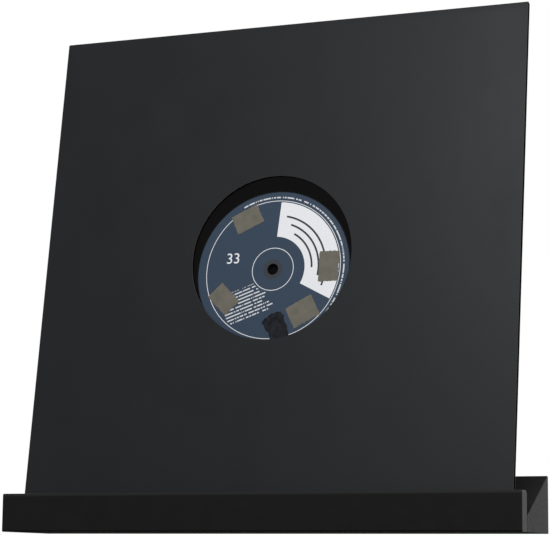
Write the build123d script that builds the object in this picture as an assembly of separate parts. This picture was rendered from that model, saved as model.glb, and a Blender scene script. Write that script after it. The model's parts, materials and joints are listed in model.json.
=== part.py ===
from build123d import *
import math
import os

# A black wooden wall ledge with a V groove that shows one twelve-inch record in its card sleeve.
# Lengths are millimetres. X runs along the ledge to the viewer's right, Y into the wall, Z up.
# The model is drawn with Z = 0 on the ledge's underside and Y = 0 on the wall, and each piece
# is moved as it is written, so that the origin is the centre of the ledge's back face.

# Ledge
ledge_end_margin = 8.5
ledge_depth = 60.0
lip_height = 23.5
lip_thickness = 10.0
lip_inner_round = 2.2
lip_outer_round = 0.9
end_chamfer = 0.35
groove_floor = 9.0
back_height = 34.0
back_round = 1.0
back_flat_left = 0.2

# Glued dowels between the lip board and the ramp block
dowel_count = 3
dowel_diameter = 5.0
dowel_length = 20.0
lip_skin = 2.5
dowel_chamfer = 0.6
dowel_glue_room = 1.0
dowel_glue_film = 0.05
dowel_end_margin = 41.0

# Keyhole hanger plates, let into the back
hanger_end_margin = 41.0
plate_width = 44.0
plate_height = 22.0
plate_thickness = 2.0
plate_corner = 4.0
plate_fit = 0.2
keyhole_entry_diameter = 8.5
keyhole_slot_width = 4.6
keyhole_travel = 9.0
head_room_depth = 6.0
head_room_side = 0.8

# Countersunk screws that hold the plates
screw_margin = 6.0
screw_shank = 3.0
screw_head = 5.6
screw_length = 12.0
screw_hole_play = 0.2
screw_pilot_play = 0.05
screw_pilot_room = 1.0
screw_sunk = 0.1
screw_point = 1.5
countersink_run_out = 1.0
recess_width = 0.8
recess_span = 3.0
recess_depth = 1.0

# Card sleeve
sleeve_spare = 14.0
card = 0.45
pocket_room = 0.275
window_margin = 3.0
window_right = -1.5
window_up = 1.6
flap_width = 15.0
flap_taper = 12.0
seat_gap = 0.3

# Record
record_diameter = 301.0
spindle_diameter = 7.24
rim_thickness = 1.8
groove_thickness = 1.5
land_thickness = 1.9
land_margin = 0.5
land_slope = 1.2
rim_width = 2.4
rim_slope = 1.6
rim_bevel = 0.55
record_gap = 0.3

# Labels and tape
label_diameter = 100.0
label_thickness = 0.1
tape_thickness = 0.1
# Each patch of tape: distance right of and above the record's centre, width, height, tilt in degrees
tape_patches = (
    (-19.1, 33.4, 18.6, 12.8, 25.7),
    (36.8, 0.3, 13.0, 19.2, 0.0),
    (-31.6, -17.9, 12.8, 17.6, 44.7),
    (21.4, -27.9, 18.4, 14.4, 27.8),
)
# Where the front label is torn away at its lower edge, right of and above the record's centre
tear_outline = ((-5.0, -34.0), (6.8, -27.0), (11.5, -36.5), (15.5, -52.0), (-1.0, -52.0), (1.0, -43.5))

# The sleeve is cut to the record, with room in its pocket for the record and its labels
sleeve_width = record_diameter + sleeve_spare
sleeve_height = record_diameter + sleeve_spare
sleeve_thickness = 3 * card + 2 * (pocket_room + label_thickness) + land_thickness
window_diameter = label_diameter + 2 * window_margin
land_diameter = label_diameter + 2 * land_margin

# The ledge is a little longer than the sleeve that stands in it
ledge_length = sleeve_width + 2 * ledge_end_margin
groove_back_y = lip_thickness - ledge_depth
dowel_in_lip = lip_thickness - lip_skin - dowel_glue_room
back_flat = back_round + back_flat_left
ramp_run = -back_flat - groove_back_y
ramp_slope = (back_height - groove_floor) / ramp_run
ramp_angle = math.atan(ramp_slope)
plate_middle = back_height / 2
keyhole_entry_z = plate_middle - keyhole_travel / 2
keyhole_top_z = plate_middle + keyhole_travel / 2
hanger_right_x = ledge_length / 2 - hanger_end_margin
hanger_places = {"left": -hanger_right_x, "right": hanger_right_x}
screw_offsets = (screw_margin - plate_width / 2, plate_width / 2 - screw_margin)

# The sleeve leans back until its top edge meets the wall, with its foot in the groove
foot_front_y = groove_back_y + seat_gap
lean_reach = math.hypot(sleeve_height, sleeve_thickness)
lean = math.asin((-seat_gap - foot_front_y) / lean_reach) - math.atan2(sleeve_thickness, sleeve_height)
foot_back_y = foot_front_y + sleeve_thickness * math.cos(lean)
foot_back_z = groove_floor + ramp_slope * (foot_back_y - groove_back_y) + seat_gap / math.cos(ramp_angle)
foot_front_z = foot_back_z + sleeve_thickness * math.sin(lean)
sleeve_place = Location((0, foot_front_y, foot_front_z), (-math.degrees(lean), 0, 0))

# The record stands on the sleeve's bottom edge, midway between the front panel and the flaps
pocket_front = card
pocket_back = sleeve_thickness - 2 * card
record_middle = (pocket_front + pocket_back) / 2
record_centre_z = card + record_gap + record_diameter / 2
label_front_y = record_middle - land_thickness / 2
label_back_y = record_middle + land_thickness / 2

frame_shift = Pos(0, 0, -back_height / 2)


def keep(name, shape):
    """Moves a piece to the part's origin and writes it under its node name."""
    export_step(frame_shift * shape, f"parts/{name}.step")


def along_x(outline, start, end):
    """A solid with a (y, z) outline, from one X to another."""
    face = make_face(Polyline(*[(0, y, z) for y, z in outline], close=True))
    return Pos(start, 0, 0) * extrude(face, amount=end - start, dir=(1, 0, 0))


def along_y(sketch, start, end):
    """A solid with an (x, z) outline drawn on the sketch plane, from one Y to another."""
    plane = Plane(origin=(0, start, 0), x_dir=(1, 0, 0), z_dir=(0, -1, 0))
    return extrude(plane * sketch, amount=start - end)


def pillar(x, z, diameter, start, end):
    """A round bar along Y."""
    return along_y(Pos(x, z) * Circle(diameter / 2), start, end)


def edges_at(shape, y, z):
    """The edges that run the length of the ledge at this height and depth."""
    found = shape.edges().filter_by(Axis.X)
    return [e for e in found if abs(e.center().Y - y) < 0.01 and abs(e.center().Z - z) < 0.01]


def ease_ends(board):
    """Takes the sharp edge off both ends, as sanding before the paint does."""
    ends = board.faces().filter_by(Axis.X).sort_by(Axis.X)
    return chamfer([*ends[0].edges(), *ends[-1].edges()], end_chamfer)


def dowel_places():
    """The dowels' X places, spread evenly between the end margins."""
    span = ledge_length - 2 * dowel_end_margin
    return [span * (i / (dowel_count - 1) - 0.5) for i in range(dowel_count)]


def dowel_holes():
    """The drillings that hold the dowels, with room for glue at both ends."""
    start = groove_back_y - dowel_in_lip - dowel_glue_room
    end = start + dowel_length + 2 * dowel_glue_room
    diameter = dowel_diameter + 2 * dowel_glue_film
    return [pillar(x, groove_floor / 2, diameter, start, end) for x in dowel_places()]


def lip_board():
    """The front strip: a plain board, rounded over along its top."""
    outline = ((-ledge_depth, 0), (groove_back_y, 0), (groove_back_y, lip_height), (-ledge_depth, lip_height))
    board = along_x(outline, -ledge_length / 2, ledge_length / 2)
    board = fillet(edges_at(board, groove_back_y, lip_height), lip_inner_round)
    board = fillet(edges_at(board, -ledge_depth, lip_height), lip_outer_round)
    board = fillet(edges_at(board, -ledge_depth, 0), lip_outer_round)
    return ease_ends(board) - dowel_holes()


def keyhole_sketch(entry_diameter, slot_width):
    """A round entry with a slot above it that ends in a half circle."""
    slot = Pos(0, (keyhole_entry_z + keyhole_top_z) / 2) * Rectangle(slot_width, keyhole_travel)
    entry = Pos(0, keyhole_entry_z) * Circle(entry_diameter / 2)
    return entry + slot + Pos(0, keyhole_top_z) * Circle(slot_width / 2)


def plate_sketch(margin):
    """The hanger plate's outline, grown by a margin for its recess."""
    width = plate_width + 2 * margin
    height = plate_height + 2 * margin
    return Pos(0, plate_middle) * RectangleRounded(width, height, plate_corner + margin)


def hanger_recess(x):
    """The recess for a plate, the room for the wall screw's head, and the plate screws' pilot holes."""
    recess = along_y(plate_sketch(plate_fit), -plate_thickness, 0)
    room_width = keyhole_entry_diameter + 2 * head_room_side
    room_end = -plate_thickness - head_room_depth
    room = along_y(keyhole_sketch(room_width, room_width), room_end, -plate_thickness)
    pilot_diameter = screw_shank + 2 * screw_pilot_play
    pilot_end = -screw_length - screw_pilot_room
    pilots = [
        pillar(offset, plate_middle, pilot_diameter, pilot_end, -plate_thickness)
        for offset in screw_offsets
    ]
    return [Pos(x, 0, 0) * cut for cut in (recess, room, *pilots)]


def ramp_block():
    """The wedge behind the lip: flat back, ramp to the groove, and recesses for the hangers."""
    outline = (
        (groove_back_y, 0),
        (0, 0),
        (0, back_height),
        (-back_flat, back_height),
        (groove_back_y, groove_floor),
    )
    block = along_x(outline, -ledge_length / 2, ledge_length / 2)
    block = ease_ends(fillet(edges_at(block, 0, back_height), back_round))
    for x in hanger_places.values():
        block = block - hanger_recess(x)
    return block - dowel_holes()


def lip_dowels():
    """Round pegs with chamfered ends."""
    start = groove_back_y - dowel_in_lip
    pegs = []
    for x in dowel_places():
        peg = pillar(x, groove_floor / 2, dowel_diameter, start, start + dowel_length)
        pegs.append(chamfer(peg.edges().filter_by(GeomType.CIRCLE), dowel_chamfer))
    return Compound(children=pegs)


def countersink(x):
    """The plate's screw hole, opened to take a flush countersunk head."""
    hole_radius = screw_shank / 2 + screw_hole_play
    head_radius = screw_head / 2 + screw_hole_play
    depth = head_radius - hole_radius
    end = -plate_thickness - countersink_run_out
    profile = ((0, 0), (head_radius, 0), (hole_radius, -depth), (hole_radius, end), (0, end))
    cut = revolve(make_face(Polyline(*[(r, y, 0) for r, y in profile], close=True)), Axis.Y)
    return Pos(x, 0, plate_middle) * cut


def hanger_plate(x):
    """A steel plate with a keyhole in the middle and a screw hole in each ear."""
    keyhole = keyhole_sketch(keyhole_entry_diameter, keyhole_slot_width)
    plate = along_y(plate_sketch(0) - keyhole, -plate_thickness, 0)
    plate = plate - [countersink(offset) for offset in screw_offsets]
    return Pos(x, 0, 0) * plate


def hanger_screw():
    """A countersunk wood screw along Y, head towards the wall, with a cross recess."""
    head_radius = screw_head / 2
    shank_radius = screw_shank / 2
    head_depth = head_radius - shank_radius
    profile = (
        (0, -screw_sunk),
        (head_radius, -screw_sunk),
        (shank_radius, -screw_sunk - head_depth),
        (shank_radius, screw_point - screw_length),
        (0, -screw_length),
    )
    screw = revolve(make_face(Polyline(*[(r, y, 0) for r, y in profile], close=True)), Axis.Y)
    slot = Rectangle(recess_span, recess_width) + Rectangle(recess_width, recess_span)
    return screw - along_y(slot, -screw_sunk - recess_depth, 0)


def hanger_screws():
    """Two screws in each plate."""
    screw = hanger_screw()
    places = [x + offset for x in hanger_places.values() for offset in screw_offsets]
    return Compound(children=[Pos(x, 0, plate_middle) * screw for x in places])


def sleeve_panel(start, windowed):
    """One face of the sleeve. The front one has a round window that shows the record's label."""
    outline = Pos(0, sleeve_height / 2) * Rectangle(sleeve_width, sleeve_height)
    if windowed:
        outline = outline - Pos(window_right, sleeve_height / 2 + window_up) * Circle(window_diameter / 2)
    return sleeve_place * along_y(outline, start, start + card)


def sleeve_spine_fold():
    """The closed edge that joins the two panels on the viewer's left."""
    strip = Pos(card / 2 - sleeve_width / 2, sleeve_height / 2) * Rectangle(card, sleeve_height)
    return sleeve_place * along_y(strip, card, sleeve_thickness - card)


def sleeve_flap(top):
    """An edge strip with its glue flap, which tapers at both ends and lies against the back panel."""
    left = card - sleeve_width / 2
    right = sleeve_width / 2
    edge = Pos(card / 2, card / 2) * Rectangle(sleeve_width - card, card)
    corners = (
        (left, card),
        (right, card),
        (right - flap_taper, flap_width),
        (left + flap_taper, flap_width),
    )
    tongue = make_face(Polyline(*corners, close=True))
    flap_back = sleeve_thickness - card
    flap = along_y(edge, card, flap_back) + along_y(tongue, pocket_back, flap_back)
    if top:
        flap = Pos(0, 0, sleeve_height) * flap.mirror(Plane.XY)
    return sleeve_place * flap


def on_record(shape):
    """Moves a shape from the record's centre to its place in the sleeve."""
    return sleeve_place * Pos(0, 0, record_centre_z) * shape


def vinyl_disc():
    """The pressed disc: a thick label land, a thinner playing area and a raised, bevelled rim."""
    land = land_thickness / 2
    groove = groove_thickness / 2
    rim = rim_thickness / 2
    edge = record_diameter / 2
    corners = (
        (spindle_diameter / 2, land),
        (land_diameter / 2, land),
        (land_diameter / 2 + land_slope, groove),
        (edge - rim_width - rim_slope, groove),
        (edge - rim_width, rim),
        (edge - rim_bevel, rim),
        (edge, rim - rim_bevel),
    )
    front = [(r, -y, 0) for r, y in corners]
    back = [(r, y, 0) for r, y in reversed(corners)]
    profile = make_face(Polyline(*front, *back, close=True))
    return on_record(Pos(0, record_middle, 0) * revolve(profile, Axis.Y))


def label(start, torn):
    """A paper label. The front one has lost a piece at its lower edge."""
    sketch = Circle(label_diameter / 2) - Circle(spindle_diameter / 2)
    if torn:
        sketch = sketch - make_face(Polyline(*tear_outline, close=True))
    return on_record(along_y(sketch, start, start + label_thickness))


def label_tapes():
    """Squares of brown tape stuck on the front label."""
    start = label_front_y - label_thickness - tape_thickness
    patches = [
        along_y(Pos(x, z) * Rot(0, 0, tilt) * Rectangle(width, height), start, start + tape_thickness)
        for x, z, width, height, tilt in tape_patches
    ]
    return Compound(children=[on_record(patch) for patch in patches])


os.makedirs("parts", exist_ok=True)
keep("lip_board", lip_board())
keep("ramp_block", ramp_block())
keep("lip_dowels", lip_dowels())
for side, x in hanger_places.items():
    keep(f"hanger_plate_{side}", hanger_plate(x))
keep("hanger_screws", hanger_screws())
keep("sleeve_front_panel", sleeve_panel(0, windowed=True))
keep("sleeve_back_panel", sleeve_panel(sleeve_thickness - card, windowed=False))
keep("sleeve_spine_fold", sleeve_spine_fold())
keep("sleeve_top_flap", sleeve_flap(top=True))
keep("sleeve_bottom_flap", sleeve_flap(top=False))
keep("vinyl_disc", vinyl_disc())
keep("label_front", label(label_front_y - label_thickness, torn=True))
keep("label_back", label(label_back_y, torn=False))
keep("label_tapes", label_tapes())

print(f"lean {math.degrees(lean):.3f} degrees, ramp {math.degrees(ramp_angle):.2f} degrees")
print(f"sleeve foot at y {foot_front_y:.2f}, z {foot_front_z:.2f}")
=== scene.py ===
# %% [markdown]
# # A record ledge, finished in Blender
# The CAD model already fixes every size and place of this black wooden wall ledge, of the card
# sleeve that leans in its groove, and of the record inside the sleeve. Here it is loaded as a
# frame. The wooden and steel parts keep their CAD shape and only need a finish. The card, the
# vinyl and the paper are modelled again, because folds, track bands and torn edges are easier to
# shape on a mesh than in CAD.

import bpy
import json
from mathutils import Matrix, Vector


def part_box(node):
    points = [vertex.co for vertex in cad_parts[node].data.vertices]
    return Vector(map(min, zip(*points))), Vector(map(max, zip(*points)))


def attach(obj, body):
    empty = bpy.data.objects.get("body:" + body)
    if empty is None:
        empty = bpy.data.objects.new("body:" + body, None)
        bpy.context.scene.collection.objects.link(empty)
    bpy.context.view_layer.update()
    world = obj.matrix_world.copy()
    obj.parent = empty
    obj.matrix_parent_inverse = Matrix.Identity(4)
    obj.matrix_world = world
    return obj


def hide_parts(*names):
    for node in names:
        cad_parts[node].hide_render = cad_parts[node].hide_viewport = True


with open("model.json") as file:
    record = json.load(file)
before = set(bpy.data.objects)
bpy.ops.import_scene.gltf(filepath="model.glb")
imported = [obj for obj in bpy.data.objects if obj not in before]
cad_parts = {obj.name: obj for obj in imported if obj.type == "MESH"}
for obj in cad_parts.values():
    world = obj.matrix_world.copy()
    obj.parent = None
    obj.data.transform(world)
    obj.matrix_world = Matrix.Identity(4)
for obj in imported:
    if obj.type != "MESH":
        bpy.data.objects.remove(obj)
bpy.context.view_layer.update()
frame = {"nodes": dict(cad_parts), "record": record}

# %% [markdown]
# ## Where the sleeve and the record lie
# The sleeve leans back against the wall, so its card is easiest to model upright and to tip into
# place at the end. The frame tells how far: the spindle hole's axis gives the lean, its position
# is the record's centre, and the front panel's box gives the sleeve's foot. Two matrices hold
# these places, one for the sleeve and one for the record. The noise that roughens torn paper gets a
# fixed seed, so that every run tears it alike.

# %% Places measured from the frame
import json
import math

import bmesh
import bpy
from mathutils import Matrix, Vector, noise

noise.seed_set(7)
mm = 0.001
from_millimetres = Matrix.Scale(mm, 4)
stand_up = Matrix.Rotation(math.pi / 2, 4, "X")
sleeve_side = 315 * mm

spindle = next(mount for mount in frame["record"]["mounts"] if mount["name"] == "spindle_hole")
lean = math.asin(spindle["axis"][2])
tip_back = Matrix.Rotation(-lean, 4, "X")

panel_low, panel_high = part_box("sleeve_front_panel")
foot = Vector((0, panel_low.y, panel_high.z - sleeve_side * math.cos(lean)))
sleeve_place = Matrix.Translation(foot) @ tip_back
record_place = Matrix.Translation(spindle["pos_m"]) @ tip_back

record_in_sleeve = sleeve_place.inverted() @ Vector(spindle["pos_m"])
print("lean", math.degrees(lean), "degrees, record centre in the sleeve", record_in_sleeve)

# %% [markdown]
# ## Camera
# The photograph was taken from the right and from slightly below, through a long lens. The
# camera's matrix is made from its heading, its upward tilt and its small roll, and the lens shift
# puts the picture's centre where the photograph has it.

# %% Camera
heading = math.radians(20.663)
upward = math.radians(8.416)
roll = math.radians(0.433)

turn = Matrix.Rotation(heading, 4, "Z") @ Matrix.Rotation(math.pi / 2 + upward, 4, "X")
turn = turn @ Matrix.Rotation(roll, 4, "Z")

camera_data = bpy.data.cameras.new("camera")
camera_data.sensor_fit = "HORIZONTAL"
camera_data.sensor_width = 36
camera_data.lens = 129.78
camera_data.shift_x = -0.0693
camera_data.shift_y = 0.0198
camera = bpy.data.objects.new("camera", camera_data)
camera.matrix_world = Matrix.Translation((0.45067, -1.15136, -0.04007)) @ turn
bpy.context.scene.collection.objects.link(camera)
bpy.context.scene.camera = camera
print("camera looks along", turn.to_3x3() @ Vector((0, 0, -1)))

# %% [markdown]
# ## Nodes in few lines
# Every finish below is a small node tree. Two helpers do the work: one starts a material and sets
# the constants on its shader's own sockets, the other adds a node, sets its options and links or
# fills its inputs in one go. The short ones after them name the sums, masks, mixes, noises,
# colour ramps and bumps that the finishes share.

# %% Helpers for materials


def new_finish(name, **constants):
    """A material with its shader. The constants go on the shader's own sockets."""
    material = bpy.data.materials.new(name)
    material.use_nodes = True
    shader = material.node_tree.nodes["Principled BSDF"]
    for socket, value in constants.items():
        shader.inputs[socket.replace("_", " ")].default_value = value
    return material, material.node_tree, shader


def add(tree, kind, inputs=None, **options):
    """A node with its options set and its inputs linked to sockets or filled with values."""
    node = tree.nodes.new("ShaderNode" + kind)
    for option, value in options.items():
        setattr(node, option, value)
    for socket, value in (inputs or {}).items():
        if isinstance(value, bpy.types.NodeSocket):
            tree.links.new(value, node.inputs[socket])
        else:
            node.inputs[socket].default_value = value
    return node


def maths(tree, operation, *values):
    """The result of a Math node."""
    return add(tree, "Math", dict(enumerate(values)), operation=operation).outputs[0]


def between(tree, value, low, high):
    """1 where the value lies between two limits, otherwise 0."""
    above = maths(tree, "GREATER_THAN", value, low)
    return maths(tree, "MULTIPLY", above, maths(tree, "LESS_THAN", value, high))


def product(tree, first, *others):
    """The product of several values, which is also where all of several masks are 1."""
    for other in others:
        first = maths(tree, "MULTIPLY", first, other)
    return first


def mix_values(tree, mask, plain, marked):
    """One value where the mask is 0 and another where it is 1."""
    return add(tree, "Mix", {0: mask, 2: plain, 3: marked}).outputs[0]


def mix_colours(tree, mask, plain, marked):
    """One colour where the mask is 0 and another where it is 1."""
    return add(tree, "Mix", {0: mask, 6: plain, 7: marked}, data_type="RGBA").outputs[2]


def toned(colour, share):
    """A colour times a share, which may also be above 1."""
    return tuple(share * part for part in colour)


def stretched_noise(tree, scale, size, detail=2.0, roughness=0.5):
    """Noise on the object's own coordinates, in metres, with a scale for each axis."""
    place = add(tree, "TexCoord").outputs["Object"]
    scaled = add(tree, "Mapping", {"Vector": place, "Scale": scale}).outputs[0]
    inputs = {"Vector": scaled, "Scale": size, "Detail": detail, "Roughness": roughness}
    return add(tree, "TexNoise", inputs).outputs["Fac"]


def shades(tree, value, low, high):
    """A colour ramp between two stops of (position, colour)."""
    ramp = add(tree, "ValToRGB", {"Fac": value})
    for stop, (position, colour) in zip(ramp.color_ramp.elements, (low, high)):
        stop.position = position
        stop.color = (*colour, 1)
    return ramp.outputs["Color"]


def spread(tree, value, low, high):
    """Noise between 0.3 and 0.7 spread out between two values."""
    inputs = {"Value": value, "From Min": 0.3, "From Max": 0.7, "To Min": low, "To Max": high}
    return add(tree, "MapRange", inputs).outputs["Result"]


def relief(tree, height, depth):
    """A bump of a real depth in metres."""
    inputs = {"Height": height, "Distance": depth, "Strength": 1.0}
    return add(tree, "Bump", inputs).outputs["Normal"]


# %% [markdown]
# ## Black paint
# The ledge is sprayed satin black. Paint on a planed board is nearly even, but the grain below
# shows as faint ridges that run along the board. The sawn ends are painted paler, as painted light
# for the light that falls on them from the side. Inside the groove and underneath the coat is thin
# and quite matt, and the underside is painted darker as well, as painted shade. Along the lip's
# rounded top edge a paler band is a painted highlight. The ends, the edge and the underside are
# found by their place on the board.

# %% Paint for the ledge
ledge_low, ledge_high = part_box("lip_board")
end_starts = ledge_high.x - 0.3 * mm
underside_ends = ledge_low.z + 0.9 * mm
edge_starts = ledge_high.z - 1.7 * mm
edge_ends = ledge_low.y + 1.7 * mm
# Painted shade: the underside gets a darker colour than the faces.
underside_shade = (0.002, 0.002, 0.002, 1)


def black_paint(name, colour, lit_end_colour, face_roughness):
    """Satin black paint, grain along X; painted light on ends and lip edge, painted shade below."""
    material, tree, shader = new_finish(name, Specular_IOR_Level=0.08)
    grain = stretched_noise(tree, (18, 320, 320), 3.2, detail=4)
    mottle = stretched_noise(tree, (60, 60, 60), 1.6)
    pores = stretched_noise(tree, (900, 900, 1500), 1.0, detail=3)
    place = add(tree, "SeparateXYZ", {0: add(tree, "TexCoord").outputs["Object"]})
    on_end = maths(tree, "GREATER_THAN", maths(tree, "ABSOLUTE", place.outputs["X"]), end_starts)
    below = maths(tree, "LESS_THAN", place.outputs["Z"], underside_ends)
    high_up = maths(tree, "GREATER_THAN", place.outputs["Z"], edge_starts)
    edge_highlight = product(tree, high_up, maths(tree, "LESS_THAN", place.outputs["Y"], edge_ends))

    face = shades(tree, mottle, (0.3, toned(colour, 0.82)), (0.7, colour))
    # Painted highlight: the lip's rounded top edge is made paler.
    face = mix_colours(tree, edge_highlight, face, (*toned(colour, 2.1), 1))
    # Painted shade: the underside is made darker.
    face = mix_colours(tree, below, face, underside_shade)
    # Painted light: the ends get a paler colour than the faces, for the light that falls on them.
    end_mottle = stretched_noise(tree, (170, 170, 170), 1.0, detail=5, roughness=0.7)
    end = shades(tree, end_mottle, (0.3, toned(lit_end_colour, 0.7)), (0.7, lit_end_colour))
    tree.links.new(mix_colours(tree, on_end, face, end), shader.inputs["Base Color"])

    rough = mix_values(tree, below, spread(tree, grain, *face_roughness), 0.95)
    rough = mix_values(tree, on_end, rough, spread(tree, pores, 0.42, 0.56))
    tree.links.new(rough, shader.inputs["Roughness"])

    height = mix_values(tree, on_end, grain, pores)
    tree.links.new(relief(tree, height, 0.04 * mm), shader.inputs["Normal"])
    return material


def give(node, material):
    """Puts a finish on every material slot of a CAD node."""
    for place in frame["nodes"][node].material_slots:
        place.material = material


# The third value of each is the paler end colour, painted light on the sawn ends.
lip_paint = black_paint("lip_paint", (0.0062,) * 3, (0.085,) * 3, (0.40, 0.52))
block_paint = black_paint("block_paint", (0.0085,) * 3, (0.0255, 0.0225, 0.0225), (0.86, 0.96))
give("lip_board", lip_paint)
give("ramp_block", block_paint)
print("painted", len(frame["nodes"]["lip_board"].data.polygons), "faces of the lip board")

# %% [markdown]
# ## Beech and zinc plate
# Behind the paint are three beech dowels, and in the back two pressed steel plates with their
# screws. Bright zinc has a faint brushed grain and a mottled sheen. Yellow zinc on the screws
# shifts from straw to a pinkish gold.

# %% Dowels, hanger plates and screws
beech, tree, shader = new_finish("beech", Roughness=0.6)
fibres = stretched_noise(tree, (400, 25, 400), 2.0, detail=4)
pale_beech = shades(tree, fibres, (0.3, (0.42, 0.27, 0.15)), (0.7, (0.62, 0.44, 0.27)))
tree.links.new(pale_beech, shader.inputs["Base Color"])
tree.links.new(relief(tree, fibres, 0.05 * mm), shader.inputs["Normal"])
give("lip_dowels", beech)

plate_steel, tree, shader = new_finish("plate_steel", Metallic=1.0)
brushing = stretched_noise(tree, (40, 900, 900), 2.0, detail=3)
spangle = stretched_noise(tree, (160, 160, 160), 1.4)
zinc = shades(tree, spangle, (0.3, (0.48, 0.49, 0.50)), (0.7, (0.63, 0.63, 0.62)))
tree.links.new(zinc, shader.inputs["Base Color"])
tree.links.new(spread(tree, brushing, 0.28, 0.45), shader.inputs["Roughness"])
tree.links.new(relief(tree, brushing, 0.01 * mm), shader.inputs["Normal"])
give("hanger_plate_left", plate_steel)
give("hanger_plate_right", plate_steel)

screw_steel, tree, shader = new_finish("screw_steel", Metallic=1.0)
tarnish = stretched_noise(tree, (700, 700, 700), 1.2)
gold = shades(tree, tarnish, (0.35, (0.60, 0.50, 0.28)), (0.65, (0.66, 0.52, 0.40)))
tree.links.new(gold, shader.inputs["Base Color"])
tree.links.new(spread(tree, tarnish, 0.22, 0.36), shader.inputs["Roughness"])
give("hanger_screws", screw_steel)
print("metal and dowels finished")

# %% [markdown]
# ## Black card
# The sleeve is heavy card, dyed through and calendered on its outside. Seen close, the surface is
# a mat of short fibres with a soft, cool sheen. Its inside is left rough and quite matt. Where it
# is cut, at the window and along the open side, the paler grey-brown core shows, so the inside
# and the cut edges each get a finish of their own.

# %% Card, its inside and its cut edge
cool_sheen = (0.93, 0.965, 1, 1)
black_card, tree, shader = new_finish("black_card", Specular_IOR_Level=0.182,
                                      Specular_Tint=cool_sheen)
fibre = stretched_noise(tree, (700, 700, 1100), 1.0, detail=4)
cloud = stretched_noise(tree, (26, 26, 20), 1.0, detail=5, roughness=0.6)
card_tone = shades(tree, cloud, (0.3, (0.0026, 0.0028, 0.0034)), (0.7, (0.0042, 0.0044, 0.0050)))
tree.links.new(card_tone, shader.inputs["Base Color"])
tree.links.new(spread(tree, cloud, 0.40, 0.48), shader.inputs["Roughness"])
tree.links.new(relief(tree, fibre, 0.03 * mm), shader.inputs["Normal"])

card_core, tree, shader = new_finish("card_core", Roughness=0.85, Specular_IOR_Level=0.2)
layers = stretched_noise(tree, (500, 500, 500), 2.0, detail=3)
core_tone = shades(tree, layers, (0.3, (0.11, 0.10, 0.09)), (0.7, (0.18, 0.162, 0.145)))
tree.links.new(core_tone, shader.inputs["Base Color"])
tree.links.new(relief(tree, layers, 0.05 * mm), shader.inputs["Normal"])

card_inside, tree, shader = new_finish("card_inside", Roughness=0.95, Specular_IOR_Level=0.03)
pulp = stretched_noise(tree, (600, 600, 600), 1.0, detail=4)
inside_tone = shades(tree, pulp, (0.3, (0.0028, 0.0028, 0.0029)), (0.7, (0.0044, 0.0043, 0.0043)))
tree.links.new(inside_tone, shader.inputs["Base Color"])
tree.links.new(relief(tree, pulp, 0.05 * mm), shader.inputs["Normal"])
print("card finishes", black_card.name, card_core.name, card_inside.name)

# %% [markdown]
# ## Folding the sleeve
# A record sleeve is one die-cut sheet. From the front panel it folds round the spine into the back
# panel, and two glue flaps fold in from the top and the bottom and lie inside the back. The mesh
# is made as the sheet is: a flat panel with its window, whose edges are spun round each fold. It
# stays a sheet without thickness until the end, halfway through the card, so that every fold stays
# concentric.

# %% Panels and the round window
card = 0.45 * mm
fold = 0.5 * mm
sleeve_depth = 4.0 * mm
window_radius = 53 * mm
window_centre = Vector((-1.5, 0, 159.1)) * mm
edge_room = fold + card / 2
cell = 5 * mm


def gridded_panel(sheet, depth):
    """A panel between the folds, as a grid of small cells."""
    width = sleeve_side - edge_room
    height = sleeve_side - 2 * edge_room
    columns, rows = round(width / cell), round(height / cell)
    centre = Vector((edge_room / 2, depth, sleeve_side / 2))
    place = Matrix.Translation(centre) @ stand_up @ Matrix.Diagonal((width, height, 1, 1))
    grid = bmesh.ops.create_grid(sheet, x_segments=columns, y_segments=rows, size=0.5, matrix=place)
    return list(dict.fromkeys(face for vert in grid["verts"] for face in vert.link_faces))


def cut_window(sheet, faces):
    """Opens a round window: cells are left out and the grid closes in on a circle."""
    room = window_radius + 1.3 * cell
    offsets = {face: face.calc_center_median() - window_centre for face in faces}
    inside = [face for face, away in offsets.items() if max(abs(away.x), abs(away.z)) < room]
    removed_edges = dict.fromkeys(edge for face in inside for edge in face.edges)
    bmesh.ops.delete(sheet, geom=inside, context="FACES")
    hole = [edge for edge in removed_edges if edge.is_valid and edge.is_boundary]

    steps = len(hole)
    for blend in (0.45, 0.8, 1.0):
        made = bmesh.ops.extrude_edge_only(sheet, edges=hole)["geom"]
        ring = {item for item in made if isinstance(item, bmesh.types.BMVert)}
        for vert in ring:
            away = vert.co - window_centre
            away.y = 0
            round_window = window_centre + away.normalized() * window_radius
            round_window.y = vert.co.y
            vert.co = vert.co.lerp(round_window, blend)
        hole = [item for item in made
                if isinstance(item, bmesh.types.BMEdge) and ring.issuperset(item.verts)]
    return steps


sheet = bmesh.new()
window_steps = cut_window(sheet, gridded_panel(sheet, card / 2))
print("front panel", len(sheet.faces), "faces,", window_steps, "steps round the window")

# %% [markdown]
# The spine and the two flaps start from three edges of the front panel. Each is spun through a
# quarter turn, carried straight across the sleeve's thickness, and spun through another quarter.
# The flaps then run on into tongues that taper at both ends, so that they don't catch in the
# corners.

# %% Spine and flaps


def edges_where(sheet, test):
    """Boundary edges whose two ends pass a test."""
    return [edge for edge in sheet.edges
            if edge.is_boundary and all(test(vert.co) for vert in edge.verts)]


def turn_fold(sheet, edges, pivot, axis, angle):
    """Spins edges round a fold and gives back the far edges."""
    ends = list(dict.fromkeys(vert for edge in edges for vert in edge.verts))
    made = bmesh.ops.spin(sheet, geom=ends + edges, cent=pivot, axis=axis, angle=angle, steps=6)
    return [item for item in made["geom_last"] if isinstance(item, bmesh.types.BMEdge)]


def carry_on(sheet, edges, step):
    """Extends a sheet straight on from its edges and gives back the far edges."""
    made = bmesh.ops.extrude_edge_only(sheet, edges=edges)["geom"]
    verts = [item for item in made if isinstance(item, bmesh.types.BMVert)]
    bmesh.ops.translate(sheet, verts=verts, vec=step)
    return [item for item in made if isinstance(item, bmesh.types.BMEdge) and item.is_boundary
            and all(vert in verts for vert in item.verts)]


left = edge_room - sleeve_side / 2
top = sleeve_side - edge_room
tiny = 1e-6

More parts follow.
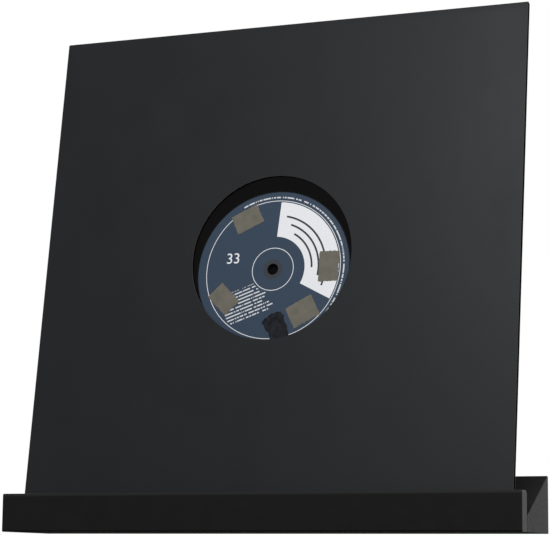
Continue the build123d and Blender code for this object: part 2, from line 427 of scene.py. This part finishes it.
spine = edges_where(sheet, lambda co: abs(co.x - left) < tiny)
spine = turn_fold(sheet, spine, (left, card / 2 + fold, 0), (0, 0, 1), -math.pi / 2)
spine = carry_on(sheet, spine, Vector((0, sleeve_depth - card - 2 * fold, 0)))
spine = turn_fold(sheet, spine, (left, sleeve_depth - card / 2 - fold, 0), (0, 0, 1), -math.pi / 2)

tongue_length = 15 * mm - edge_room
tongue_taper = 12 * mm
for up, edge_height in ((1, top), (-1, edge_room)):
    flap = edges_where(sheet, lambda co: abs(co.z - edge_height) < tiny and co.y < card)
    flap = turn_fold(sheet, flap, (0, card / 2 + fold, edge_height), (1, 0, 0), -up * math.pi / 2)
    flap = carry_on(sheet, flap, Vector((0, sleeve_depth - 2 * card - 2 * fold, 0)))
    pivot = (0, sleeve_depth - 3 * card / 2 - fold, edge_height)
    flap = turn_fold(sheet, flap, pivot, (1, 0, 0), -up * math.pi / 2)
    flap = carry_on(sheet, flap, Vector((0, 0, -up * tongue_length)))
    middle = (left + sleeve_side / 2) / 2
    half = (sleeve_side / 2 - left) / 2
    for vert in {vert for edge in flap for vert in edge.verts}:
        vert.co.x = middle + (vert.co.x - middle) * (half - tongue_taper) / half
print("folded sheet", len(sheet.faces), "faces")

# %% [markdown]
# The back panel is a second grid of the same size, left whole: black shows through the spindle
# hole, so the sleeve has its window in front only. The grid's left edge meets the end of the
# spine, and merging the doubled points there makes the two one sheet. Card never lies perfectly
# flat, so both panels swell outwards by a few tenths of a millimetre and the open side gapes a
# little.

# %% Back panel and swell
back_edge_gap = 0.2 * mm
gridded_panel(sheet, sleeve_depth - card / 2)
edges = edges_where(sheet, lambda co: abs(co.z - top) < tiny and co.y > sleeve_depth - card)
carry_on(sheet, edges, Vector((0, 0, edge_room - back_edge_gap)))
edges = edges_where(sheet, lambda co: abs(co.z - edge_room) < tiny and co.y > sleeve_depth - card)
carry_on(sheet, edges, Vector((0, 0, back_edge_gap - edge_room)))
bmesh.ops.remove_doubles(sheet, verts=sheet.verts, dist=0.01 * mm)
bmesh.ops.recalc_face_normals(sheet, faces=sheet.faces)

swell = 0.35 * mm
for vert in sheet.verts:
    across = (vert.co.x - left) / (sleeve_side / 2 - left)
    height = vert.co.z / sleeve_side
    rise = math.sin(math.pi * min(max(height, 0), 1))
    rise *= math.sin(math.pi * min(max(across, 0), 1) * 0.62)
    ripple = 0.75 + 0.5 * noise.noise(Vector((vert.co.x * 9, vert.co.y * 200, vert.co.z * 9)))
    outward = -1 if vert.co.y < sleeve_depth / 2 else 1
    on_panel = abs(vert.co.y - card / 2) < tiny or abs(vert.co.y - sleeve_depth + card / 2) < tiny
    if on_panel:
        vert.co.y += outward * swell * rise * ripple
print("sheet", len(sheet.verts), "points,", len(sheet.faces), "faces")

# %% [markdown]
# ## From sheet to finished piece
# A finished piece keeps its place in its mesh and sits at the origin, as a CAD node does. Each one
# rides on the CAD body it belongs to and hides the CAD nodes it stands for. Edges sharper than a
# chosen angle stay crisp, and all others shade smoothly.

# %% Helpers that finish a piece


def shade_by_angle(mesh, degrees):
    """Smooth shading with crisp edges above an angle."""
    mesh.shade_smooth()
    mesh.set_sharp_from_angle(angle=math.radians(degrees))


def place_piece(name, mesh, place, body, nodes, slot, *finishes):
    """Makes an object of a mesh in place, hangs it on its body and hides the nodes it replaces."""
    mesh.transform(place)
    mesh.update()
    for finish in finishes:
        mesh.materials.append(finish)
    piece = bpy.data.objects.new(name, mesh)
    bpy.context.scene.collection.objects.link(piece)
    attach(piece, body)
    if nodes:
        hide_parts(*nodes)
    return piece


def with_modifiers_applied(piece):
    """The piece's mesh as its modifiers leave it."""
    bpy.context.view_layer.update()
    shown = piece.evaluated_get(bpy.context.evaluated_depsgraph_get())
    return bpy.data.meshes.new_from_object(shown)


# %% [markdown]
# The Solidify modifier gives the sheet its thickness, half of it to each side, and puts the inside
# and the cut edges into finishes of their own. Its result is kept as the sleeve's mesh.

# %% Thickness for the sleeve
sheet_mesh = bpy.data.meshes.new("card_sheet")
sheet.to_mesh(sheet_mesh)
sheet.free()
for finish in (black_card, card_inside, card_core):
    sheet_mesh.materials.append(finish)
draft = bpy.data.objects.new("card_draft", sheet_mesh)
bpy.context.scene.collection.objects.link(draft)
thickness = draft.modifiers.new("thickness", "SOLIDIFY")
thickness.thickness = card
thickness.offset = 0
thickness.use_even_offset = True
thickness.material_offset = 1
thickness.material_offset_rim = 2
sleeve_mesh = with_modifiers_applied(draft)
bpy.data.objects.remove(draft)

shade_by_angle(sleeve_mesh, 40)
sleeve_nodes = [node for node in frame["nodes"] if node.startswith("sleeve_")]
sleeve = place_piece("card_sleeve", sleeve_mesh, sleeve_place, "sleeve", sleeve_nodes, "black_card")
cut_faces = [face for face in sleeve.data.polygons if face.material_index == 2]
print("sleeve", len(sleeve.data.polygons), "faces,", len(cut_faces), "on cut edges")

# %% [markdown]
# ## Pressed vinyl
# A record is a turned shape, so half of its section is drawn once, as points from the spindle hole
# to the rim, and spun. The label land and the rim stand proud of the playing area, which keeps the
# grooves off whatever the record lies on. The playing area has five bands of grooves with narrow
# gaps between them. Points a little beside each step keep the smooth shading of the flat parts
# flat.

# %% The disc's section
spindle_radius = 3.62
land_radius = 50.5
land_foot = 51.7
record_radius = 150.5
track_bands = ((61, 77), (78.2, 94), (95.2, 111), (112.2, 128), (129.2, 145.5))

beside = 0.3
section = [(spindle_radius, 0.80), (spindle_radius + 0.15, 0.95), (spindle_radius + 0.5, 0.95)]
section += [(land_radius - beside, 0.95), (land_radius, 0.95)]
section += [(land_foot, 0.745), (land_foot + beside, 0.745)]
section += [(track_bands[0][0] - 0.2 - beside, 0.71)]
for start, end in track_bands:
    section += [(start - 0.2, 0.71), (start, 0.75), (start + beside, 0.75)]
    section += [(end - beside, 0.75), (end, 0.75), (end + 0.2, 0.71)]
section += [(146.2, 0.74), (146.5, 0.74), (147.3, 0.83), (148.1, 0.9)]
section += [(149.4, 0.9), (149.95, 0.83), (150.3, 0.62), (record_radius, 0.35)]

disc = bmesh.new()
front = [disc.verts.new((r * mm, -y * mm, 0)) for r, y in section]
back = [disc.verts.new((r * mm, y * mm, 0)) for r, y in reversed(section)]
outline = front + back
for first, second in zip(outline, outline[1:] + outline[:1]):
    disc.edges.new((first, second))
bmesh.ops.spin(disc, geom=disc.verts[:] + disc.edges[:], cent=(0, 0, 0), axis=(0, 1, 0),
               angle=2 * math.pi, steps=256, use_merge=True)
bmesh.ops.recalc_face_normals(disc, faces=disc.faces)
print("disc", len(disc.faces), "faces")

# %% [markdown]
# Light runs along the grooves and spreads across them. The shader copies that with anisotropy,
# which needs to know the groove's direction at each point. A polar UV map gives it: U goes round
# the record and V runs out from its centre. The land, bare where the label is torn, keeps a film of
# dried glue.

# %% Polar UV map and vinyl
polar = disc.loops.layers.uv.new("polar")
for face in disc.faces:
    middle = face.calc_center_median()
    facing = math.atan2(middle.z, middle.x)
    for loop in face.loops:
        co = loop.vert.co
        round_it = math.atan2(co.z, co.x)
        while round_it - facing > math.pi:
            round_it -= 2 * math.pi
        while facing - round_it > math.pi:
            round_it += 2 * math.pi
        loop[polar].uv = (round_it / (2 * math.pi), math.hypot(co.x, co.z) / (record_radius * mm))

vinyl, tree, shader = new_finish("vinyl", Specular_IOR_Level=0.05, Anisotropic=0.6)
out = add(tree, "SeparateXYZ", {0: add(tree, "UVMap", uv_map="polar").outputs[0]}).outputs["Y"]
inputs = {"W": out, "Scale": 900, "Detail": 2}
tracks = add(tree, "TexNoise", inputs, noise_dimensions="1D").outputs["Fac"]
played = between(tree, out, 61 / record_radius, 145.6 / record_radius)
on_land = maths(tree, "LESS_THAN", out, land_radius / record_radius)
rough = mix_values(tree, played, 0.12, spread(tree, tracks, 0.22, 0.32))
tree.links.new(mix_values(tree, on_land, rough, 0.7), shader.inputs["Roughness"])
lumps = stretched_noise(tree, (350, 350, 350), 1.0, detail=4)
glue = shades(tree, lumps, (0.3, (0.006, 0.007, 0.009)), (0.7, (0.017, 0.019, 0.022)))
bare = (0.0015, 0.0015, 0.0017, 1)
tree.links.new(mix_colours(tree, on_land, bare, glue), shader.inputs["Base Color"])
groove_height = product(tree, tracks, played)
tree.links.new(relief(tree, groove_height, 0.01 * mm), shader.inputs["Normal"])
tangent = add(tree, "Tangent", direction_type="UV_MAP", uv_map="polar").outputs[0]
tree.links.new(tangent, shader.inputs["Tangent"])

disc_mesh = bpy.data.meshes.new("pressed_disc")
disc.to_mesh(disc_mesh)
disc.free()
shade_by_angle(disc_mesh, 30)
place_piece("pressed_disc", disc_mesh, record_place, "record", ["vinyl_disc"], "vinyl", vinyl)
print("vinyl", len(disc_mesh.polygons), "faces")

# %% [markdown]
# ## Printed labels
# The labels are satin paper, printed slate with an off-white sector, rings and rows of small
# print. The print is a plain pattern of its own, drawn by the shader: a Mapping node brings the
# record's centre to zero and stands the record upright, and from there distance and angle make
# every ring and sector.

# %% Label print
slate = (0.028, 0.0465, 0.0745)
off_white = (0.70, 0.71, 0.735)
ink = (0.030, 0.034, 0.040)
row_pitch = 2.15


def label_print(name, side):
    """Slate label paper with a sector, rings, arcs and rows of small print."""
    material, tree, shader = new_finish(name, Roughness=0.42, Specular_IOR_Level=0.13)
    place = add(tree, "TexCoord").outputs["Object"]
    centre = Vector(spindle["pos_m"])
    inputs = {"Vector": place, "Location": centre, "Rotation": (-lean, 0, 0), "Scale": (side, 1, 1)}
    on_label = add(tree, "Mapping", inputs, vector_type="TEXTURE").outputs[0]
    inputs = {0: on_label, "Scale": 1 / mm}
    millimetres = add(tree, "VectorMath", inputs, operation="SCALE").outputs[0]
    split = add(tree, "SeparateXYZ", {0: millimetres})
    x, z = split.outputs["X"], split.outputs["Z"]
    squares = maths(tree, "ADD", product(tree, x, x), product(tree, z, z))
    radius = maths(tree, "SQRT", squares)
    degrees = maths(tree, "DEGREES", maths(tree, "ARCTAN2", z, x))

    def arc(inner, outer, start, end):
        """1 on a part of a ring."""
        on_ring = between(tree, radius, inner, outer)
        return product(tree, on_ring, between(tree, degrees, start, end))

    def any_of(*masks):
        """1 where any of the masks is 1."""
        result = masks[0]
        for mask in masks[1:]:
            result = maths(tree, "MAXIMUM", result, mask)
        return result

    pale = any_of(
        arc(21, 43.5, -28, 86),
        between(tree, radius, 44.2, 44.6),
        between(tree, radius, 13.4, 13.8),
    )
    letter = maths(tree, "FLOOR", maths(tree, "MULTIPLY", degrees, 1.25))
    chance = add(tree, "TexWhiteNoise", {"W": letter}, noise_dimensions="1D").outputs["Value"]
    small_print = product(tree, arc(46.2, 47.1, -70, 118), maths(tree, "LESS_THAN", chance, 0.68))
    dark = any_of(arc(25, 26.2, 0, 60), arc(29.5, 30.7, -10, 70), arc(34, 35.2, -20, 78))

    inputs = {"Vector": millimetres, "Rotation": (0, math.radians(20), 0)}
    lines = add(tree, "SeparateXYZ", {0: add(tree, "Mapping", inputs).outputs[0]})
    along, down = lines.outputs["X"], lines.outputs["Z"]
    rows = maths(tree, "DIVIDE", down, row_pitch)
    row = maths(tree, "FLOOR", rows)
    in_row = between(tree, maths(tree, "FRACT", rows), 0.0, 0.38)
    step = maths(tree, "FLOOR", maths(tree, "DIVIDE", along, 0.6))
    pair = add(tree, "CombineXYZ", {0: step, 1: row}).outputs[0]
    chance = add(tree, "TexWhiteNoise", {"Vector": pair}, noise_dimensions="3D").outputs["Value"]
    dash = maths(tree, "LESS_THAN", chance, 0.78)
    row_chance = add(tree, "TexWhiteNoise", {"W": row}, noise_dimensions="1D").outputs["Value"]
    row_end = maths(tree, "SUBTRACT", -4.0, maths(tree, "MULTIPLY", row_chance, 9.0))
    block = product(tree, between(tree, along, -38.0, row_end), between(tree, down, -24.0, -4.0))
    words = product(tree, dash, in_row, block, between(tree, radius, 15.0, 43.0))
    words = product(tree, any_of(words, small_print), 0.8)

    hub = maths(tree, "LESS_THAN", radius, 6.3)
    fleck = stretched_noise(tree, (900, 900, 900), 1.0, detail=3)
    ground = shades(tree, fleck, (0.3, toned(slate, 0.9)), (0.7, slate))
    paper = shades(tree, fleck, (0.3, toned(off_white, 0.94)), (0.7, off_white))
    printed = mix_colours(tree, any_of(pale, words), ground, paper)
    printed = mix_colours(tree, any_of(dark, hub), printed, (*ink, 1))
    tree.links.new(printed, shader.inputs["Base Color"])
    tree.links.new(relief(tree, fleck, 0.01 * mm), shader.inputs["Normal"])
    return material


front_print = label_print("label_front_print", 1)
back_print = label_print("label_back_print", -1)
print("label finishes", front_print.name, back_print.name)

# %% [markdown]
# ## Cutting the labels
# Paper is cut from a flat outline, and a filled 2-D curve is the quickest way to the same thing:
# one closed line for the rim, one for the spindle hole, and a hair of extrusion. The front label
# has lost a piece at its foot, so there its rim follows the tear, roughened by noise.

# %% Labels
label_radius = 50
label_thickness = 0.1
label_steps = 192
tear_left, tear_right = -2.2, 14.2
tear = ((15.5, -52.0), (13.5, -43.0), (11.5, -36.5), (9.3, -30.5), (6.8, -27.0), (1.5, -28.4),
        (-2.6, -31.2), (-5.0, -34.0), (-2.4, -38.6), (1.0, -43.5), (0.2, -47.6), (-1.0, -52.0))


def circle_points(radius, steps):
    """Points on a circle, anticlockwise from its lowest point."""
    angles = [2 * math.pi * step / steps - math.pi / 2 for step in range(steps)]
    return [Vector((radius * math.cos(a), radius * math.sin(a), 0)) for a in angles]


def torn_line(points, reach, seed):
    """Points every reach along a line, each pushed off it by noise."""
    line = []
    for start, end in zip(points, points[1:]):
        start, end = Vector((*start, 0)), Vector((*end, 0))
        steps = max(1, round((end - start).length / reach))
        line += [start.lerp(end, step / steps) for step in range(steps)]
    rough = []
    for point in line:
        push = noise.noise_vector(point * 0.55 + Vector((seed, 0, 0))) * 0.9
        rough.append(point + Vector((push.x, push.y, 0)))
    return rough


def cut_sheet(name, outlines, thickness):
    """A flat sheet in the XZ plane with closed outlines, in millimetres."""
    curve = bpy.data.curves.new(name, "CURVE")
    curve.dimensions = "2D"
    curve.fill_mode = "BOTH"
    curve.extrude = thickness / 2
    for points in outlines:
        spline = curve.splines.new("POLY")
        spline.points.add(len(points) - 1)
        for spot, point in zip(spline.points, points):
            spot.co = (point.x, point.y, 0, 1)
        spline.use_cyclic_u = True
    draft = bpy.data.objects.new(name + "_draft", curve)
    bpy.context.scene.collection.objects.link(draft)
    mesh = with_modifiers_applied(draft)
    bpy.data.objects.remove(draft)
    mesh.transform(from_millimetres @ stand_up)
    return mesh


def label_mesh(name, torn):
    """A label with its spindle hole, torn at its foot or whole."""
    rim = circle_points(label_radius, label_steps)
    if torn:
        rim = [point for point in rim if point.y > 0 or not tear_left < point.x < tear_right]
        ragged = torn_line(tear, 0.7, 3)
        rim += [point for point in reversed(ragged) if point.length < label_radius - 0.2]
    hole = circle_points(spindle_radius, 48)
    mesh = cut_sheet(name, [rim, hole], label_thickness)
    shade_by_angle(mesh, 30)
    return mesh


front_place = record_place @ Matrix.Translation((0, -1.0 * mm, 0))
back_place = record_place @ Matrix.Translation((0, 1.0 * mm, 0))
front_label = label_mesh("label_front_paper", torn=True)
back_label = label_mesh("label_back_paper", torn=False)
place_piece("label_front_paper", front_label, front_place, "record", ["label_front"], "label_paper",
            front_print)
place_piece("label_back_paper", back_label, back_place, "record", ["label_back"], "label_paper",
            back_print)
print("labels", len(front_label.polygons), "and", len(back_label.polygons), "faces")

# %% [markdown]
# The playing speed is the one number on the label. Text is flat lettering with a hair of
# thickness, so it is made a mesh first and then laid on the paper like any other piece.

# %% Speed number
number_spot = (-27, -1.06, 5)
number = bpy.data.curves.new("speed_number", "FONT")
number.body = "33"
number.size = 9.5
number.extrude = 0.01
number.align_x = "CENTER"
draft = bpy.data.objects.new("number_draft", number)
bpy.context.scene.collection.objects.link(draft)
number_mesh = with_modifiers_applied(draft)
bpy.data.objects.remove(draft)
number_mesh.transform(from_millimetres @ Matrix.Translation(number_spot) @ stand_up)

white_ink, tree, shader = new_finish("white_ink", Roughness=0.45, Specular_IOR_Level=0.18)
speck = stretched_noise(tree, (800, 800, 800), 1.0)
inked = shades(tree, speck, (0.3, (0.64, 0.655, 0.68)), (0.7, (0.74, 0.75, 0.775)))
tree.links.new(inked, shader.inputs["Base Color"])
place_piece("speed_number", number_mesh, record_place, "record", [], "label_paper", white_ink)
print("number", len(number_mesh.polygons), "faces")

# %% [markdown]
# ## Tape
# Four squares of brown paper tape hold the front label. Torn by hand, each is a little out of
# square and its surface is creped, so each patch is a fine grid whose points are nudged by noise
# before it is laid on the label.

# %% Tape finish and patches
tape_paper, tree, shader = new_finish("tape_paper", Roughness=0.72, Specular_IOR_Level=0.3)
crepe = stretched_noise(tree, (300, 300, 900), 1.0, detail=4)
blotch = stretched_noise(tree, (180, 180, 180), 1.0, detail=2)
brown = shades(tree, blotch, (0.3, (0.094, 0.089, 0.067)), (0.7, (0.123, 0.112, 0.092)))
tree.links.new(brown, shader.inputs["Base Color"])
tree.links.new(relief(tree, crepe, 0.06 * mm), shader.inputs["Normal"])

# Place across and up, width, height and tilt in degrees
tape_patches = (
    (-19.1, 33.4, 18.6, 12.8, 25.7),
    (36.8, 0.3, 13.0, 19.2, 0.0),
    (-31.6, -17.9, 12.8, 17.6, 44.7),
    (21.4, -27.9, 18.4, 14.4, 27.8),
)
tape_thickness = 0.09
tape_middle = -1.1 - tape_thickness / 2

tapes = bmesh.new()
for x, z, width, height, tilt in tape_patches:
    place = Matrix.Translation((x, tape_middle, z)) @ Matrix.Rotation(-math.radians(tilt), 4, "Y")
    place = place @ stand_up @ Matrix.Diagonal((width, height, 1, 1))
    patch = bmesh.ops.create_grid(tapes, x_segments=28, y_segments=22, size=0.5, matrix=place)
    for vert in patch["verts"]:
        if vert.is_boundary:
            push = noise.noise_vector(vert.co * 0.7) * 0.5
            vert.co += Vector((push.x, 0, push.z))
bmesh.ops.recalc_face_normals(tapes, faces=tapes.faces)
bmesh.ops.solidify(tapes, geom=tapes.faces[:], thickness=tape_thickness)
bmesh.ops.recalc_face_normals(tapes, faces=tapes.faces)
tape_mesh = bpy.data.meshes.new("tape_patches")
tapes.to_mesh(tape_mesh)
tapes.free()
tape_mesh.transform(from_millimetres)
shade_by_angle(tape_mesh, 30)
place_piece("tape_patches", tape_mesh, record_place, "record", ["label_tapes"], "tape_paper",
            tape_paper)
print("tape", len(tape_mesh.polygons), "faces")

# %% [markdown]
# ## Stage and light
# The ledge hangs on a wall, so the floor is well below it. The world is white behind the object
# and in its reflections, and dimmer where it lights the object. One large soft lamp, up in front
# and a little to the right, gives the card its slow rise in brightness towards the right.

# %% Floor, world and lamp
pale_grey = (0.86, 0.86, 0.86, 1)
floor_paint = new_finish("floor_paint", Base_Color=pale_grey, Roughness=0.9)[0]
floor_reach = 40
floor_place = Matrix.Translation((0, 0, -1.4))
floor_mesh = bpy.data.meshes.new("floor")
ground = bmesh.new()
bmesh.ops.create_grid(ground, x_segments=1, y_segments=1, size=floor_reach, matrix=floor_place)
ground.to_mesh(floor_mesh)
ground.free()
floor_mesh.materials.append(floor_paint)
floor = bpy.data.objects.new("floor", floor_mesh)
bpy.context.scene.collection.objects.link(floor)

world = bpy.data.worlds.new("studio")
bpy.context.scene.world = world
world.use_nodes = True
tree = world.node_tree
sky = tree.nodes["Background"]
sky.inputs["Color"].default_value = (1, 1, 1, 1)
path = add(tree, "LightPath")
seen = maths(tree, "MAXIMUM", path.outputs["Is Camera Ray"], path.outputs["Is Glossy Ray"])
seen = maths(tree, "MAXIMUM", seen, path.outputs["Is Transmission Ray"])
sky_light = 0.45
tree.links.new(mix_values(tree, seen, sky_light, 1.0), sky.inputs["Strength"])

lamp_data = bpy.data.lights.new("softbox", "AREA")
lamp_data.shape = "RECTANGLE"
lamp_data.size = 0.5
lamp_data.size_y = 0.5
lamp_data.energy = 9.4
lamp = bpy.data.objects.new("softbox", lamp_data)
lamp_spot = Vector((0.18, -0.95, 0.72))
lamp_turn = lamp_spot.to_track_quat("Z", "Y").to_matrix().to_4x4()
lamp.matrix_world = Matrix.Translation(lamp_spot) @ lamp_turn
bpy.context.scene.collection.objects.link(lamp)
bpy.context.scene.view_settings.view_transform = "Standard"
print("lamp at", lamp_spot)
